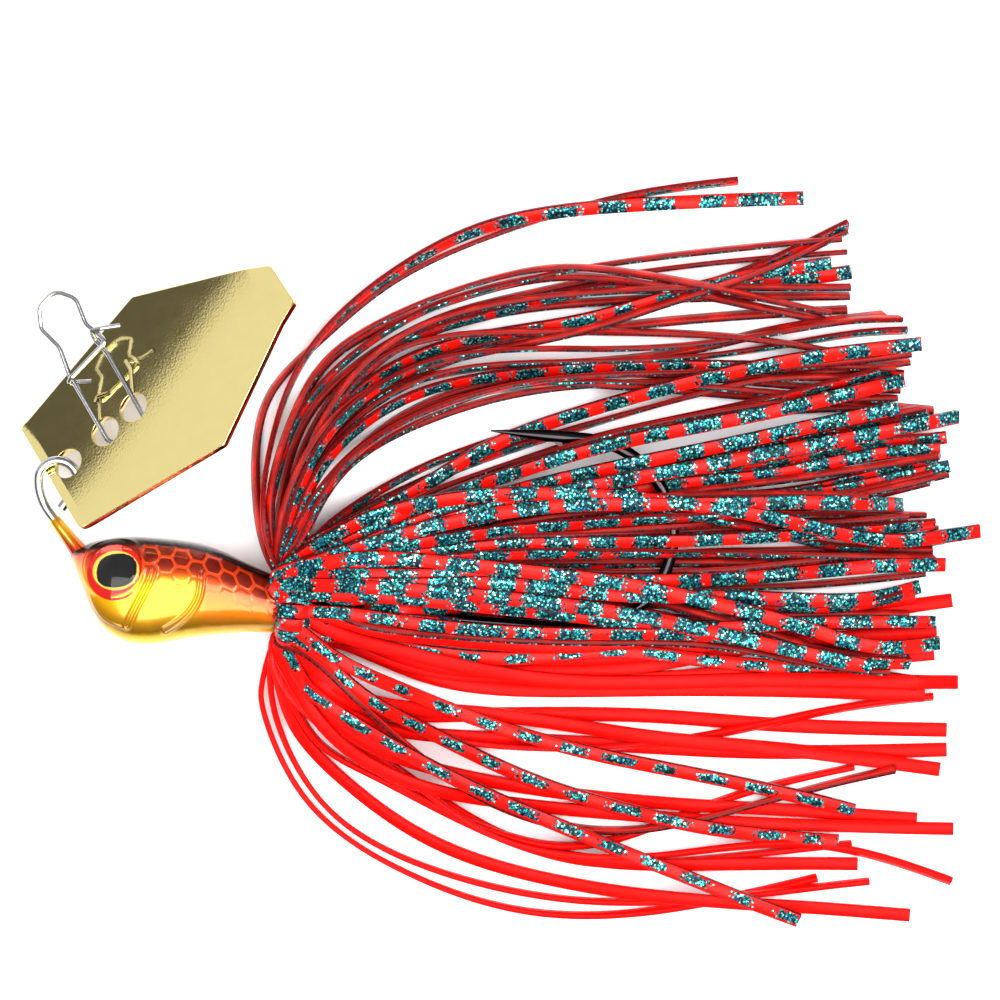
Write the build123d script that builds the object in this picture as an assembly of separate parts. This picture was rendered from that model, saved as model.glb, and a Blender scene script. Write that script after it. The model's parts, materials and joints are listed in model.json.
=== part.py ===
from build123d import *
import os
from math import cos, pi, radians, sin

# Bladed jig: a lead fish head with a fixed hook and a silicone skirt, a hexagonal blade that swings
# on the wire eye at the nose, and a wire snap through the blade that takes the fishing line.
#
# The jig lies on its side. Lengths are millimetres. While it is built, the origin is the centre of
# the skirt collar: +X runs back towards the skirt tips, +Y towards the fish's back, +Z towards its
# left side, and z = 0 is the plane of the hook. The finished part is then moved so that the origin
# is the bottom centre of its box.

# ---- driving dimensions ----
SHANK_DROP = 4.6  # degrees that the hook shank falls below +X
HOOK_WIRE = 1.35
HOOK_BEND_CENTRE = (33.3, 7.8)
HOOK_BEND_RADIUS = 10.5
HOOK_BEND_END = 85.0  # degrees round the bend where the point section starts
POINT_STRAIGHT = 4.4
POINT_TAPER = 6.1
POINT_TIP_RADIUS = 0.1
BARB_LENGTH = 2.6
BARB_HEIGHT = 0.75
BARB_WIDTH = 0.56
HOOK_EYE_X = -13.0
HOOK_EYE_HOLE = 2.0

LINE_WIRE = 1.05
RING_CENTRE = (-23.9, 13.75)
RING_RADIUS = 2.15
RING_TAIL_ANGLE = -36.0
RING_SIDE_RADIUS = 6.0
RING_SIDE_TURN = 38.0
RING_TAIL_LENGTH = 2.3

SEAT_RADIUS = 2.6
KEEPER_LENGTH = 18.4
KEEPER_RADIUS = 2.05

EYE_CENTRE = (-17.2, 3.6)
EYE_DEPTH = 3.75  # of the socket floor from the hook's plane
EYE_RADIUS = 3.1
EYE_PRINT = 0.3
EYE_DOME = 0.75
EYE_TURN_FORWARD = 5.0
EYE_TURN_UP = 12.0

BLADE_THICKNESS = 0.8
BLADE_LENGTH = 33.7
BLADE_FRONT = 16.2
BLADE_WIDE = 24.0
BLADE_WIDE_AT = 18.7
BLADE_REAR = 6.0
BLADE_CORNER = 0.7
BLADE_EYE_HOLE = 3.4
BLADE_EYE_AT = 2.56
SNAP_HOLE = 3.4
SNAP_HOLES_AT = (8.07, 12.25)
LIP_LENGTH = 1.0
LIP_BEND = 16.0
TAIL_LENGTH = 2.6
TAIL_BEND = 12.0
BLADE_ON_RING = 51.6  # degrees round the wire ring to the blade's eye hole
BLADE_HEADING = 40.0
BLADE_RISE = 9.0
BLADE_TILT = 34.5

SNAP_WIRE = 0.56
SNAP_REST = 27.0  # degrees between the snap and the blade's face
SNAP_SKEW = 8.2

BAND_START = 1.2
BAND_WIDTH = 1.8
BAND_THICKNESS = 0.7
COLLAR_START = 0.9
COLLAR_LENGTH = 6.0
COLLAR_RADIUS = 3.6
COLLAR_FLARE = 4.9

LIFT = 5.2  # of the hook's plane over the table
TABLE_LAYER = (0.1, 2.3)  # heights over the table of the strands under the hook
LOW_LAYER = (0.1, 3.6)
HIGH_LAYER = (4.0, 7.2)
TOP_LAYER = (7.5, 9.9)

# The head, at stations along X: (x, top, bottom, half width, roundness exponent)
HEAD_STATIONS = [
    (-22.25, 6.1, 4.6, 0.6, 2.0),
    (-21.6, 6.3, 3.0, 1.9, 2.1),
    (-20.6, 6.7, 0.5, 3.05, 2.3),
    (-19.2, 7.1, -2.1, 3.95, 2.5),
    (-17.4, 7.4, -3.6, 4.45, 2.6),
    (-15.2, 7.5, -4.3, 4.6, 2.6),
    (-12.6, 7.35, -4.25, 4.5, 2.5),
    (-9.6, 7.0, -3.7, 4.2, 2.3),
    (-6.4, 6.2, -3.3, 3.8, 2.15),
    (-3.0, 4.6, -3.05, 3.35, 2.0),
    (0.4, 3.05, -3.05, 3.05, 2.0),
]

# Skirt lobes: name: (centre line, width at the collar, width at the tips, layer)
LOBES = {
    "skirt_top_sweep": (
        [(3.9, 2.6), (0.8, 7.6), (-0.8, 14.0), (1.0, 22.5), (7.0, 31.6), (19.0, 39.6), (36.0, 43.6), (56.0, 45.4)],
        1.4,
        4.0,
        LOW_LAYER,
    ),
    "skirt_upper_fan": (
        [(4.6, 2.6), (5.0, 11.0), (7.6, 20.0), (15.0, 29.0), (30.0, 34.4), (62.0, 37.0)],
        1.6,
        9.0,
        HIGH_LAYER,
    ),
    "skirt_upper_rear": (
        [(5.0, 2.0), (10.0, 11.0), (16.4, 18.8), (28.0, 24.6), (67.5, 28.2)],
        1.2,
        6.4,
        LOW_LAYER,
    ),
    "skirt_over_upper": ([(5.0, 3.0), (14.0, 8.6), (34.0, 14.6), (73.5, 18.6)], 1.6, 6.6, TOP_LAYER),
    "skirt_over_middle": ([(5.0, 0.6), (22.0, 4.6), (45.0, 7.6), (77.8, 6.8)], 1.6, 7.0, TOP_LAYER),
    "skirt_over_lower": ([(5.0, -1.8), (22.0, -1.6), (45.0, -2.2), (73.6, -4.0)], 1.6, 7.0, TOP_LAYER),
    "skirt_plain_upper": ([(5.2, -2.2), (20.0, -8.2), (45.0, -12.2), (74.6, -13.6)], 1.0, 8.4, LOW_LAYER),
    "skirt_printed_low": ([(4.8, -2.6), (14.0, -13.2), (34.0, -19.6), (63.0, -22.6)], 1.4, 5.6, HIGH_LAYER),
    "skirt_plain_lower": ([(4.5, -2.4), (8.8, -15.4), (25.0, -24.0), (73.0, -26.6)], 0.9, 3.2, LOW_LAYER),
    "skirt_bottom_sweep": (
        [(3.4, -3.2), (-0.6, -9.4), (0.4, -17.2), (7.0, -25.8), (22.0, -31.6), (45.0, -33.2), (70.0, -32.6)],
        1.4,
        4.6,
        LOW_LAYER,
    ),
    "skirt_under_upper": ([(5.2, 1.0), (22.0, 5.8), (40.0, 12.4), (66.0, 16.6)], 1.2, 10.0, TABLE_LAYER),
    "skirt_under_lower": ([(5.2, -1.0), (20.0, -1.0), (40.0, 0.2), (68.0, 1.6)], 1.2, 11.0, TABLE_LAYER),
}

shank_turn = Rotation(0, 0, -SHANK_DROP)
collar_axis = Vector(cos(radians(SHANK_DROP)), -sin(radians(SHANK_DROP)), 0)


def polar(centre, radius, angle):
    """The point at an angle, in degrees, on a circle in the hook's plane."""
    return Vector(centre[0] + radius * cos(radians(angle)), centre[1] + radius * sin(radians(angle)), 0)


def wire_along(path, diameter):
    """A round wire whose centre follows the path."""
    return sweep(Plane(origin=path @ 0, z_dir=path % 0) * Circle(diameter / 2), path=path)


def turned(profile):
    """A solid of revolution about the shank, from (distance along the shank, radius) points."""
    face = make_face(Polyline(*[(x, r, 0) for x, r in profile], close=True))
    return shank_turn * revolve(face, Axis.X)


def head_section(x, top, bottom, half_width, roundness):
    """A closed rounded outline across the head."""
    middle, half_height, count = (top + bottom) / 2, (top - bottom) / 2, 20
    points = []
    for i in range(count):
        angle = 2 * pi * i / count
        c, s = cos(angle), sin(angle)
        reach = (abs(c) ** roundness + abs(s) ** roundness) ** (-1 / roundness)
        points.append((x, middle + half_height * reach * c, half_width * reach * s))
    return make_face(Spline(*points, periodic=True))


def make_hook():
    """Forged jig hook: eye, shank, round bend, and a barbed tapering point."""
    eye = collar_axis * HOOK_EYE_X
    eye_radius = (HOOK_EYE_HOLE + HOOK_WIRE) / 2
    eye_plane = Plane(origin=eye, x_dir=(0, 0, 1), z_dir=collar_axis.cross(Vector(0, 0, 1)))
    bend_start = -90 - SHANK_DROP
    shank = Line(eye + collar_axis * eye_radius, polar(HOOK_BEND_CENTRE, HOOK_BEND_RADIUS, bend_start))
    bend = CenterArc(Vector(*HOOK_BEND_CENTRE, 0), HOOK_BEND_RADIUS, bend_start, HOOK_BEND_END - bend_start)
    point_start = polar(HOOK_BEND_CENTRE, HOOK_BEND_RADIUS, HOOK_BEND_END)
    along = Vector(-sin(radians(HOOK_BEND_END)), cos(radians(HOOK_BEND_END)), 0)
    inward = Vector(-along.Y, along.X, 0)
    half = [
        (0, 0, 0),
        (HOOK_WIRE / 2, 0, 0),
        (HOOK_WIRE / 2, 0, POINT_STRAIGHT),
        (POINT_TIP_RADIUS, 0, POINT_STRAIGHT + POINT_TAPER),
        (0, 0, POINT_STRAIGHT + POINT_TAPER),
    ]
    point = Plane(origin=point_start, z_dir=along) * revolve(make_face(Polyline(*half, close=True)), Axis.Z)
    barb_front = point_start + along * (POINT_STRAIGHT + 0.4)
    barb_tip = barb_front - along * BARB_LENGTH + inward * (HOOK_WIRE / 2 + BARB_HEIGHT)
    barb_back = barb_front - along * (BARB_LENGTH - 0.5) + inward * (HOOK_WIRE / 2 - 0.2)
    barb = extrude(make_face(Polyline(barb_front, barb_tip, barb_back, close=True)), amount=BARB_WIDTH / 2, both=True)
    ring = eye_plane * Torus(eye_radius, HOOK_WIRE / 2)
    return ring + wire_along(shank + bend, HOOK_WIRE) + point + barb


def make_line_wire():
    """Wire bent into an open eye outside the nose, with its tail through the hook's eye."""
    side = polar(RING_CENTRE, RING_RADIUS, 180)
    side_centre = (side.X + RING_SIDE_RADIUS, side.Y)
    tail = polar(RING_CENTRE, RING_RADIUS, RING_TAIL_ANGLE)
    tail_way = Vector(sin(radians(RING_TAIL_ANGLE)), -cos(radians(RING_TAIL_ANGLE)), 0)
    loop = CenterArc(Vector(*RING_CENTRE, 0), RING_RADIUS, RING_TAIL_ANGLE, 180 - RING_TAIL_ANGLE)
    shoulder = CenterArc(Vector(*side_centre, 0), RING_SIDE_RADIUS, 180, RING_SIDE_TURN)
    stem_top = polar(side_centre, RING_SIDE_RADIUS, 180 + RING_SIDE_TURN)
    stem_angle = radians(RING_SIDE_TURN - 90)
    corner = stem_top + Vector(cos(stem_angle), sin(stem_angle), 0) * 7.9
    inside = FilletPolyline(stem_top, corner, corner + Vector(6.8, 0.1, 0), (-12.8, -1.4, 0), radius=1.5)
    return wire_along(Line(tail + tail_way * RING_TAIL_LENGTH, tail) + loop + shoulder + inside, LINE_WIRE)


def eye_plane(side):
    """The floor of an eye socket, facing outwards. side is 1 for the left and -1 for the right."""
    out = Vector(-sin(radians(EYE_TURN_FORWARD)), sin(radians(EYE_TURN_UP)), side).normalized()
    return Plane(origin=(*EYE_CENTRE, side * EYE_DEPTH), x_dir=(1, 0, 0), z_dir=out)


def make_eye(side):
    """The printed disc in the socket and the clear dome on it."""
    floor = eye_plane(side)
    disc = floor * extrude(Circle(EYE_RADIUS), amount=EYE_PRINT)
    ball_radius = (EYE_RADIUS**2 + EYE_DOME**2) / (2 * EYE_DOME)
    ball = Pos(0, 0, EYE_PRINT + EYE_DOME - ball_radius) * Sphere(ball_radius)
    half_space = Pos(0, 0, EYE_PRINT + 5) * Box(20, 20, 10)
    return disc, floor * (ball & half_space)


def make_head(hook, line_wire):
    """Fish head, collar seat, keeper and the short sleeve on the stem, cast round hook and wire."""
    head = loft([head_section(*station) for station in HEAD_STATIONS])
    seat = turned(
        [
            (-2.0, 0.0),
            (-2.0, SEAT_RADIUS),
            (COLLAR_LENGTH, SEAT_RADIUS),
            (COLLAR_LENGTH, KEEPER_RADIUS),
            (12.0, KEEPER_RADIUS - 0.25),
            (13.2, KEEPER_RADIUS),
            (14.6, KEEPER_RADIUS - 0.4),
            (KEEPER_LENGTH, HOOK_WIRE / 2 + 0.25),
            (KEEPER_LENGTH, 0.0),
        ]
    )
    stem_angle = radians(RING_SIDE_TURN - 90)
    stem_way = Vector(cos(stem_angle), sin(stem_angle), 0)
    side = polar(RING_CENTRE, RING_RADIUS, 180)
    stem_top = polar((side.X + RING_SIDE_RADIUS, side.Y), RING_SIDE_RADIUS, 180 + RING_SIDE_TURN)
    sleeve_end, sleeve_root = stem_top + stem_way * 0.8, stem_top + stem_way * 6.2
    sleeve = loft(
        [
            Plane(origin=sleeve_end, z_dir=stem_way) * Circle(LINE_WIRE / 2 + 0.12),
            Plane(origin=sleeve_root, z_dir=stem_way) * Circle(LINE_WIRE / 2 + 0.5),
        ]
    )
    casting = head + seat + sleeve
    for side_sign in (1, -1):
        socket = eye_plane(side_sign) * extrude(Circle(EYE_RADIUS), amount=6)
        casting = casting - socket
    return casting - hook - line_wire


def make_blade():
    """Hexagonal plate with a bent front lip and tail, and three holes on its long axis."""
    half = BLADE_THICKNESS / 2
    lip = LIP_LENGTH * sin(radians(LIP_BEND))
    tail = TAIL_LENGTH * sin(radians(TAIL_BEND))
    bends = [(0, lip), (LIP_LENGTH, 0), (BLADE_LENGTH - TAIL_LENGTH, 0), (BLADE_LENGTH, -tail)]
    low = [(x, z - half) for x, z in bends]
    high = [(x, z + half) for x, z in reversed(bends)]
    sheet = extrude(Plane.XZ * make_face(Polyline(*low, *high, close=True)), amount=BLADE_WIDE, both=True)
    outline = Polyline(
        (0, -BLADE_FRONT / 2),
        (BLADE_WIDE_AT, -BLADE_WIDE / 2),
        (BLADE_LENGTH, -BLADE_REAR / 2),
        (BLADE_LENGTH, BLADE_REAR / 2),
        (BLADE_WIDE_AT, BLADE_WIDE / 2),
        (0, BLADE_FRONT / 2),
        close=True,
    )
    face = make_face(outline)
    prism = extrude(fillet(face.vertices(), BLADE_CORNER), amount=5, both=True)
    plate = sheet & prism
    for x, diameter in [(BLADE_EYE_AT, BLADE_EYE_HOLE), *[(x, SNAP_HOLE) for x in SNAP_HOLES_AT]]:
        plate = plate - Pos(x, 0, 0) * Cylinder(diameter / 2, 5)
    return plate


def blade_plane():
    """Where the blade lies: x runs along it from the front edge, z is the face seen from the left."""
    along = Vector(
        cos(radians(BLADE_RISE)) * cos(radians(BLADE_HEADING)),
        cos(radians(BLADE_RISE)) * sin(radians(BLADE_HEADING)),
        sin(radians(BLADE_RISE)),
    )
    level = Vector(-sin(radians(BLADE_HEADING)), cos(radians(BLADE_HEADING)), 0)
    face = along.cross(level) * cos(radians(BLADE_TILT)) + level * sin(radians(BLADE_TILT))
    eye = polar(RING_CENTRE, RING_RADIUS, BLADE_ON_RING)
    return Plane(origin=eye - along * BLADE_EYE_AT, x_dir=along, z_dir=face)


def make_snap():
    """One wire: a square end through the blade, a narrow waist, a round nose, and two hooked ends."""
    # The bottom of the square end lies behind the blade; w lifts a crossing wire over another.
    points = [
        (-0.7, 5.5, -0.42, 0.25),
        (-2.2, 6.3, -0.50, 0.3),
        (-3.15, 6.6, 0.05, 0.35),
        (-2.2, 6.95, 0.50, 0.3),
        (3.05, 8.25, 0.34, 0.5),
        (2.75, 9.6, 0.05, 0.6),
        (2.05, 11.1, 0.0, 1.6),
        (2.55, 14.2, 0.0, 1.5),
        (0.9, 16.2, 0.0, 1.5),
        (-1.6, 15.6, 0.0, 1.5),
        (-2.6, 13.4, 0.0, 1.2),
        (-1.85, 10.6, 0.0, 2.0),
        (-2.43, 7.6, 0.0, 2.0),
        (-2.43, -1.75, 0.0, 0.95),
        (2.43, -1.75, 0.0, 0.95),
        (2.43, 7.2, -0.3, 0.8),
        (1.95, 9.3, -0.55, 0.5),
        (2.25, 10.2, 0.45, 0.4),
        (3.4, 9.75, 0.62, 0.4),
        (5.4, 8.9, 0.3, 0.0),
    ]
    path = FilletPolyline(*[(u, v, w) for u, v, w, _ in points], radius=[r for *_, r in points[1:-1]])
    return wire_along(path, SNAP_WIRE)


def snap_plane(blade_at):
    """Where the snap lies: its origin is midway between the two snap holes, y runs to the nose."""
    across = blade_at.y_dir
    reach = across * cos(radians(SNAP_REST)) + blade_at.z_dir * sin(radians(SNAP_REST))
    nose_way = reach * cos(radians(SNAP_SKEW)) + blade_at.x_dir * sin(radians(SNAP_SKEW))
    leg_way = blade_at.x_dir * cos(radians(SNAP_SKEW)) - reach * sin(radians(SNAP_SKEW))
    origin = blade_at.from_local_coords(Vector(sum(SNAP_HOLES_AT) / 2, 0, 0))
    return Plane(origin=origin, x_dir=leg_way, z_dir=leg_way.cross(nose_way)), nose_way


def make_lobe(centre_line, width_start, width_end, layer, collar):
    """A plain closed finger of the skirt, as thick as its layer, that starts on the collar."""
    points = [Vector(x, y, 0) for x, y in centre_line]
    left, right = [], []
    for i, point in enumerate(points):
        before, after = points[max(i - 1, 0)], points[min(i + 1, len(points) - 1)]
        way = (after - before).normalized()
        out = Vector(-way.Y, way.X, 0) * (width_start + (width_end - width_start) * i / (len(points) - 1)) / 2
        left.append(point + out)
        right.append(point - out)
    outline = Spline(*left) + Line(left[-1], right[-1]) + Spline(*reversed(right)) + Line(right[0], left[0])
    finger = extrude(make_face(outline), amount=layer[1] - layer[0])
    return Pos(0, 0, layer[0] - LIFT) * finger - collar


def make_parts():
    """Every piece in the building frame, by node name."""
    hook = make_hook()
    line_wire = make_line_wire()
    parts = {"hook": hook, "line_wire": line_wire, "head_body": make_head(hook, line_wire)}
    for side, name in ((1, "left"), (-1, "right")):
        parts[f"eye_print_{name}"], parts[f"eye_dome_{name}"] = make_eye(side)
    band_end = BAND_START + BAND_WIDTH
    collar = [
        (COLLAR_START, SEAT_RADIUS),
        (COLLAR_START, COLLAR_RADIUS),
        (band_end, COLLAR_RADIUS),
        (COLLAR_LENGTH, COLLAR_FLARE),
        (COLLAR_LENGTH, SEAT_RADIUS),
    ]
    band = [
        (BAND_START, COLLAR_RADIUS),
        (BAND_START, COLLAR_RADIUS + BAND_THICKNESS),
        (band_end, COLLAR_RADIUS + BAND_THICKNESS),
        (band_end, COLLAR_RADIUS),
    ]
    solid_collar = [(COLLAR_START, 0.0), *collar[1:4], (COLLAR_LENGTH, 0.0)]
    parts["skirt_collar"] = turned(collar)
    parts["skirt_band"] = turned(band)
    taken = turned(solid_collar) + parts["skirt_band"]
    for name, (centre_line, start, end, layer) in LOBES.items():
        parts[name] = make_lobe(centre_line, start, end, layer, taken)
    blade_at = blade_plane()
    parts["blade"] = blade_at * make_blade()
    snap_at, _ = snap_plane(blade_at)
    parts["snap"] = snap_at * make_snap()
    return parts


parts = make_parts()
box = Compound(children=[Compound(children=part.solids()) for part in parts.values()]).bounding_box()
shift = Vector(-(box.min.X + box.max.X) / 2, -(box.min.Y + box.max.Y) / 2, -box.min.Z)
os.makedirs("parts", exist_ok=True)
for name, part in parts.items():
    export_step(Pos(shift) * Compound(children=part.solids()), f"parts/{name}.step")

blade_at = blade_plane()
snap_at, nose_way = snap_plane(blade_at)
places = {
    "size": box.size,
    "shift": shift,
    "blade_swing pos": Vector(*RING_CENTRE, 0) + shift,
    "snap_swing pos": snap_at.origin + shift,
    "snap_swing axis": blade_at.x_dir,
    "line_tie pos": snap_at.origin + nose_way * 14.0 + shift,
    "line_tie axis": nose_way,
    "keeper pos": collar_axis * 12.0 + shift,
    "keeper axis": collar_axis,
}
for name, place in places.items():
    print(name, [round(v, 4) for v in (place.X, place.Y, place.Z)])
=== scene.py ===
import json
from math import cos, pi, radians, sin

import bmesh
import bpy
import numpy as np
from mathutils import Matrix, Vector


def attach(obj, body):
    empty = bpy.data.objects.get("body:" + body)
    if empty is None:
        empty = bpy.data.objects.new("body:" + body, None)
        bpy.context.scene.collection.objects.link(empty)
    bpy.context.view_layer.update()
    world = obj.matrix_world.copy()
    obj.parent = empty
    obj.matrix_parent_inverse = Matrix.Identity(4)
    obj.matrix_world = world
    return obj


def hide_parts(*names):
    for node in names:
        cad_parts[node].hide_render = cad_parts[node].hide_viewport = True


# Looks of the bladed jig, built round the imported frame. Positions in millimetres are in the hook's
# own frame: origin at the centre of the skirt collar, +X towards the skirt tips, +Y towards the
# fish's back, z = 0 on the plane of the hook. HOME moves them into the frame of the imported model.

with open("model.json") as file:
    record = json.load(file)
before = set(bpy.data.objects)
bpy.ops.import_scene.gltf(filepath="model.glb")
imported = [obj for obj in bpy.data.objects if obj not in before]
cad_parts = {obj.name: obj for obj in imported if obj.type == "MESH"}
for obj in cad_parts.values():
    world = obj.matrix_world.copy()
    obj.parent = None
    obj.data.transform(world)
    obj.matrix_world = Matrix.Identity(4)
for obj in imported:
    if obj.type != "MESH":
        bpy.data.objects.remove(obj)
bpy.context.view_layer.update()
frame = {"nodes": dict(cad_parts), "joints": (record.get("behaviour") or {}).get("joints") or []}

MM = 0.001
SEED = 7
UP = np.array((0, 0, 1.0))
RING_CENTRE = np.array((-23.9, 13.75, 0.0))  # of the wire eye that the blade swings on
blade_joint = next(j for j in frame["joints"] if j["name"] == "blade_swing")
HOME = np.array(blade_joint["pos_m"]) / MM - RING_CENTRE
TABLE_Z = -HOME[2]  # the surface that the jig lies on
SHANK_DROP = radians(4.6)
SHANK_WAY = np.array((cos(SHANK_DROP), -sin(SHANK_DROP), 0.0))
SHANK_SIDE = np.array((sin(SHANK_DROP), cos(SHANK_DROP), 0.0))

# ---------------------------------------------------------------- meshes


def place(points):
    """Points in the hook's frame, in mm, as row-frame metres."""
    return (np.asarray(points, float) + HOME) * MM


def mesh_object(name, points, faces, body="jig", sharp_angle=None):
    """A smooth mesh piece from points in the hook's frame that rides on a body."""
    mesh = bpy.data.meshes.new(name)
    mesh.from_pydata(place(points).tolist(), [], faces)
    mesh.shade_smooth()
    if sharp_angle is not None:
        mesh.set_sharp_from_angle(angle=radians(sharp_angle))
    mesh.update()
    piece = bpy.data.objects.new(name, mesh)
    bpy.context.scene.collection.objects.link(piece)
    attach(piece, body)
    return piece


def float_attributes(piece, numbers):
    """Numbers for each vertex that the materials read, by name."""
    for name, values in numbers.items():
        attribute = piece.data.attributes.new(name, "FLOAT", "POINT")
        attribute.data.foreach_set("value", np.asarray(values, np.float32))


def dress(piece, material, node):
    """Gives a piece its material and hides the CAD node that it stands for."""
    piece.data.materials.clear()
    piece.data.materials.append(material)
    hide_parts(node)


def smooth_through(points, step=0.5):
    """Evenly spaced points on a smooth curve through the given points."""
    points = np.asarray(points, float)
    chord = np.linalg.norm(np.diff(points, axis=0), axis=1)
    knots = np.concatenate([[0], np.cumsum(np.sqrt(chord))])
    n = len(points)
    widths = np.diff(knots)
    matrix = np.zeros((n, n))
    right = np.zeros((n, points.shape[1]))
    matrix[0, :2] = (2, 1)
    right[0] = 3 * (points[1] - points[0]) / widths[0]
    matrix[-1, -2:] = (1, 2)
    right[-1] = 3 * (points[-1] - points[-2]) / widths[-1]
    for i in range(1, n - 1):
        a, b = widths[i - 1], widths[i]
        matrix[i, i - 1 : i + 2] = (b, 2 * (a + b), a)
        right[i] = 3 * (b * (points[i] - points[i - 1]) / a + a * (points[i + 1] - points[i]) / b)
    slopes = np.linalg.solve(matrix, right)
    t = np.linspace(0, 1, 40, endpoint=False)[:, None]
    dense = [
        (2 * t**3 - 3 * t**2 + 1) * points[i]
        + (t**3 - 2 * t**2 + t) * widths[i] * slopes[i]
        + (3 * t**2 - 2 * t**3) * points[i + 1]
        + (t**3 - t**2) * widths[i] * slopes[i + 1]
        for i in range(n - 1)
    ]
    return evenly(np.concatenate([*dense, points[-1:]]), step)


def evenly(points, step):
    """The same line with its points a step apart."""
    run = run_along(points)
    count = max(4, int(round(run[-1] / step)) + 1)
    where = np.linspace(0, run[-1], count)
    return np.stack([np.interp(where, run, column) for column in points.T], axis=1)


def run_along(points):
    """Distance of each point from the start of its line."""
    return np.concatenate([[0], np.cumsum(np.linalg.norm(np.diff(points, axis=0), axis=1))])


def directions(points):
    """Unit tangents of a line of points."""
    ways = np.gradient(points, axis=0)
    return ways / np.linalg.norm(ways, axis=1)[:, None]


def soft_step(value, low, high):
    """0 below low, 1 above high, smooth between."""
    t = np.clip((value - low) / (high - low), 0, 1)
    return t * t * (3 - 2 * t)


def ring_faces(rings, sides, inside_out=False):
    """Faces of a skin through rings of points, with a flat cap on each end."""
    faces = []
    for i in range(rings - 1):
        a, b = i * sides, (i + 1) * sides
        for k in range(sides):
            j = (k + 1) % sides
            faces.append((a + k, a + j, b + j, b + k))
    faces.append(tuple(range(sides))[::-1])
    faces.append(tuple(range((rings - 1) * sides, rings * sides)))
    return [face[::-1] for face in faces] if inside_out else faces


# ---------------------------------------------------------------- material helpers


class Nodes:
    """A short way to write the nodes of a material, or of the world."""

    def __init__(self, name, world=False):
        self.owner = bpy.data.worlds.new(name) if world else bpy.data.materials.new(name)
        self.owner.use_nodes = True
        self.tree = self.owner.node_tree
        self.tree.nodes.clear()
        self.output = self.tree.nodes.new("ShaderNodeOutputWorld" if world else "ShaderNodeOutputMaterial")

    def give(self, socket, value):
        """Links a socket to another, or sets its own value."""
        if isinstance(value, bpy.types.NodeSocket):
            self.tree.links.new(value, socket)
        else:
            socket.default_value = value

    def add(self, kind, settings=None, **inputs):
        node = self.tree.nodes.new("ShaderNode" + kind)
        for key, value in (settings or {}).items():
            setattr(node, key, value)
        for key, value in inputs.items():
            name = key.replace("_", " ")
            self.give(next(s for s in node.inputs if s.name == name and s.enabled), value)
        return node

    def math(self, operation, a, b=0.0):
        node = self.add("Math", {"operation": operation})
        self.give(node.inputs[0], a)
        self.give(node.inputs[1], b)
        return node.outputs[0]

    def times(self, first, *others):
        for other in others:
            first = self.math("MULTIPLY", first, other)
        return first

    def plus(self, a, b):
        return self.math("ADD", a, b)

    def minus(self, a, b):
        return self.math("SUBTRACT", a, b)

    def over(self, a, b):
        return self.math("DIVIDE", a, b)

    def size(self, a):
        return self.math("ABSOLUTE", a)

    def number(self, name):
        return self.add("Attribute", {"attribute_name": name}).outputs["Fac"]

    def object_point(self):
        return self.add("TexCoord").outputs["Object"]

    def noise(self, point, scale, detail=2.0):
        return self.add("TexNoise", Vector=point, Scale=scale, Detail=detail).outputs["Fac"]

    def bump(self, height, strength, distance=0.0001):
        return self.add("Bump", Height=height, Strength=strength, Distance=distance).outputs[0]

    def mix(self, factor, a, b):
        node = self.add("Mix", {"data_type": "RGBA"})
        for index, value in ((0, factor), (6, a), (7, b)):
            self.give(node.inputs[index], value)
        return node.outputs[2]

    def ramp(self, factor, stops):
        node = self.add("ValToRGB", Fac=factor)
        elements = node.color_ramp.elements
        while len(elements) < len(stops):
            elements.new(0.5)
        for element, (position, colour) in zip(elements, stops):
            element.position = position
            element.color = colour
        return node.outputs[0]

    def step(self, value, low, high):
        """0 below low, 1 above high, smooth between."""
        node = self.add("MapRange", {"interpolation_type": "SMOOTHSTEP"})
        for index, given in enumerate((value, low, high)):
            self.give(node.inputs[index], given)
        return node.outputs[0]

    def surface(self, colour, roughness, **settings):
        """Finishes a material with a principled shader; settings are its other inputs."""
        return self.finish(self.add("BsdfPrincipled", Base_Color=colour, Roughness=roughness, **settings))

    def finish(self, shader):
        self.tree.links.new(shader.outputs[0], self.output.inputs["Surface"])
        return self.owner


def linear(r, g, b):
    """An sRGB colour, 0 to 255, as a linear one."""
    values = [v / 255 for v in (r, g, b)]
    return tuple(v / 12.92 if v <= 0.04045 else ((v + 0.055) / 1.055) ** 2.4 for v in values) + (1.0,)


def stops(*rows):
    """Stops of a colour ramp from positions and sRGB colours."""
    return [(position, linear(r, g, b)) for position, r, g, b in rows]


# ---------------------------------------------------------------- the skirt's strands

STRAND_WIDTH = 1.5
STRAND_THICK = 0.6
CORNER = 0.09  # cut off the corners of a strand's cross-section
COLLAR_INSIDE = 2.95
PILE_LOOSE, PILE_PRESS = 3.5, 0.42  # above this height the soft strands press into each other
TURN_OVER, TURNED = 48, 42  # strands twisted this far roll over and show their unprinted back
CELL = 0.25  # of the height map that the strands settle on
GRID_LOW = np.array((-16.0, -46.0))
GRID_SIZE = (400, 380)
FREE_FROM, FREE_AT = 2.0, 9.0  # a strand lets go of the collar between these distances
DROOP_RUN = 9.0  # over which a stiff strand comes down
SAG, SAG_STEPS, SMOOTH_STEPS = 0.0035, 260, 45
HOOK_REACH, HOOK_TOP = 0.75, 0.75  # half the wire with a little air
KEEPER_REAR, KEEPER_TOP = 18.6, 1.9  # the keeper tube is thicker than the hook's wire
PLAIN_LOBES = ("skirt_plain_upper", "skirt_plain_lower", "skirt_bottom_sweep")
FACE_OF = (1, 1, 0.5, -0.5, -1, -1, -0.5, 0.5)  # which face each corner of the outline lies on


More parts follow.
